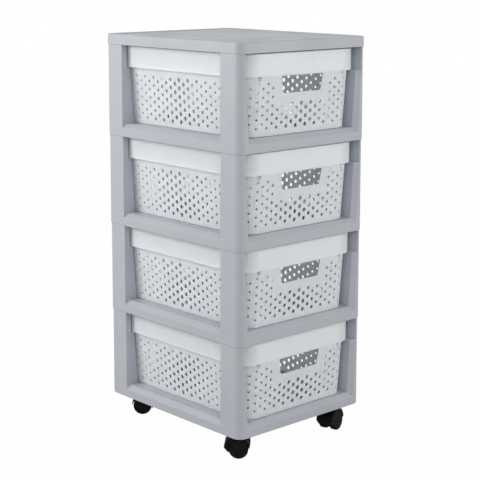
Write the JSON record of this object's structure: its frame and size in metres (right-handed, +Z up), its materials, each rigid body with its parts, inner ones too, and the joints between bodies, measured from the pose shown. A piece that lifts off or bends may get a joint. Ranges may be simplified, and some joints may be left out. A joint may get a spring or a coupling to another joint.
{
  "type": "drawer tower",
  "caption": "Upright plastic tower of stacked open-sided level frames, each with a sliding perforated drawer, on swivelling twin-wheel casters.",
  "frame": {"origin": "centre of the footprint on the floor", "axes": "+Z up, +X to the right as seen from the front, the drawers' fronts face -Y"},
  "size_m": [0.3, 0.36, 0.7125],
  "materials": {
    "frame": "cool light grey, fine satin moulding",
    "drawer": "off-white, fine satin moulding",
    "caster": "black, low gloss",
    "tread": "black, low gloss, slightly worn",
    "steel": "bright zinc plate"
  },
  "bodies": {
    "tower": {"top_cover": "frame", "level_1": "frame", "level_2": "frame", "level_3": "frame", "level_4": "frame", "socket_fl": "caster", "socket_fr": "caster", "socket_rl": "caster", "socket_rr": "caster"},
    "drawer_1": {"drawer_1": "drawer"},
    "drawer_2": {"drawer_2": "drawer"},
    "drawer_3": {"drawer_3": "drawer"},
    "drawer_4": {"drawer_4": "drawer"},
    "caster_fl": {"hood_fl": "caster", "stem_fl": "steel", "axle_fl": "steel"},
    "wheel_a_fl": {"wheel_a_fl": "tread"},
    "wheel_b_fl": {"wheel_b_fl": "tread"},
    "caster_fr": {"hood_fr": "caster", "stem_fr": "steel", "axle_fr": "steel"},
    "wheel_a_fr": {"wheel_a_fr": "tread"},
    "wheel_b_fr": {"wheel_b_fr": "tread"},
    "caster_rl": {"hood_rl": "caster", "stem_rl": "steel", "axle_rl": "steel"},
    "wheel_a_rl": {"wheel_a_rl": "tread"},
    "wheel_b_rl": {"wheel_b_rl": "tread"},
    "caster_rr": {"hood_rr": "caster", "stem_rr": "steel", "axle_rr": "steel"},
    "wheel_a_rr": {"wheel_a_rr": "tread"},
    "wheel_b_rr": {"wheel_b_rr": "tread"}
  },
  "joints": [
    {"name": "drawer_1_slide", "type": "slide", "parent": "tower", "child": "drawer_1", "axis": [0, -1, 0], "range_m": [0, 0.27]},
    {"name": "drawer_2_slide", "type": "slide", "parent": "tower", "child": "drawer_2", "axis": [0, -1, 0], "range_m": [0, 0.27]},
    {"name": "drawer_3_slide", "type": "slide", "parent": "tower", "child": "drawer_3", "axis": [0, -1, 0], "range_m": [0, 0.27]},
    {"name": "drawer_4_slide", "type": "slide", "parent": "tower", "child": "drawer_4", "axis": [0, -1, 0], "range_m": [0, 0.27]},
    {"name": "caster_fl_swivel", "type": "hinge", "parent": "tower", "child": "caster_fl", "pos_m": [-0.11, -0.153, 0.044], "axis": [0, 0, 1], "continuous": true},
    {"name": "wheel_a_fl_spin", "type": "hinge", "parent": "caster_fl", "child": "wheel_a_fl", "pos_m": [-0.11834, -0.14437, 0.017], "axis": [-0.7193, -0.6947, 0], "continuous": true},
    {"name": "wheel_b_fl_spin", "type": "hinge", "parent": "caster_fl", "child": "wheel_b_fl", "pos_m": [-0.11834, -0.14437, 0.017], "axis": [-0.7193, -0.6947, 0], "continuous": true},
    {"name": "caster_fr_swivel", "type": "hinge", "parent": "tower", "child": "caster_fr", "pos_m": [0.11, -0.153, 0.044], "axis": [0, 0, 1], "continuous": true},
    {"name": "wheel_a_fr_spin", "type": "hinge", "parent": "caster_fr", "child": "wheel_a_fr", "pos_m": [0.09846, -0.15631, 0.017], "axis": [0.2756, -0.9613, 0], "continuous": true},
    {"name": "wheel_b_fr_spin", "type": "hinge", "parent": "caster_fr", "child": "wheel_b_fr", "pos_m": [0.09846, -0.15631, 0.017], "axis": [0.2756, -0.9613, 0], "continuous": true},
    {"name": "caster_rl_swivel", "type": "hinge", "parent": "tower", "child": "caster_rl", "pos_m": [-0.11, 0.153, 0.044], "axis": [0, 0, 1], "continuous": true},
    {"name": "wheel_a_rl_spin", "type": "hinge", "parent": "caster_rl", "child": "wheel_a_rl", "pos_m": [-0.10122, 0.14482, 0.017], "axis": [0.682, 0.7314, 0], "continuous": true},
    {"name": "wheel_b_rl_spin", "type": "hinge", "parent": "caster_rl", "child": "wheel_b_rl", "pos_m": [-0.10122, 0.14482, 0.017], "axis": [0.682, 0.7314, 0], "continuous": true},
    {"name": "caster_rr_swivel", "type": "hinge", "parent": "tower", "child": "caster_rr", "pos_m": [0.11, 0.153, 0.044], "axis": [0, 0, 1], "continuous": true},
    {"name": "wheel_a_rr_spin", "type": "hinge", "parent": "caster_rr", "child": "wheel_a_rr", "pos_m": [0.10017, 0.14612, 0.017], "axis": [0.5736, -0.8192, 0], "continuous": true},
    {"name": "wheel_b_rr_spin", "type": "hinge", "parent": "caster_rr", "child": "wheel_b_rr", "pos_m": [0.10017, 0.14612, 0.017], "axis": [0.5736, -0.8192, 0], "continuous": true}
  ]
}
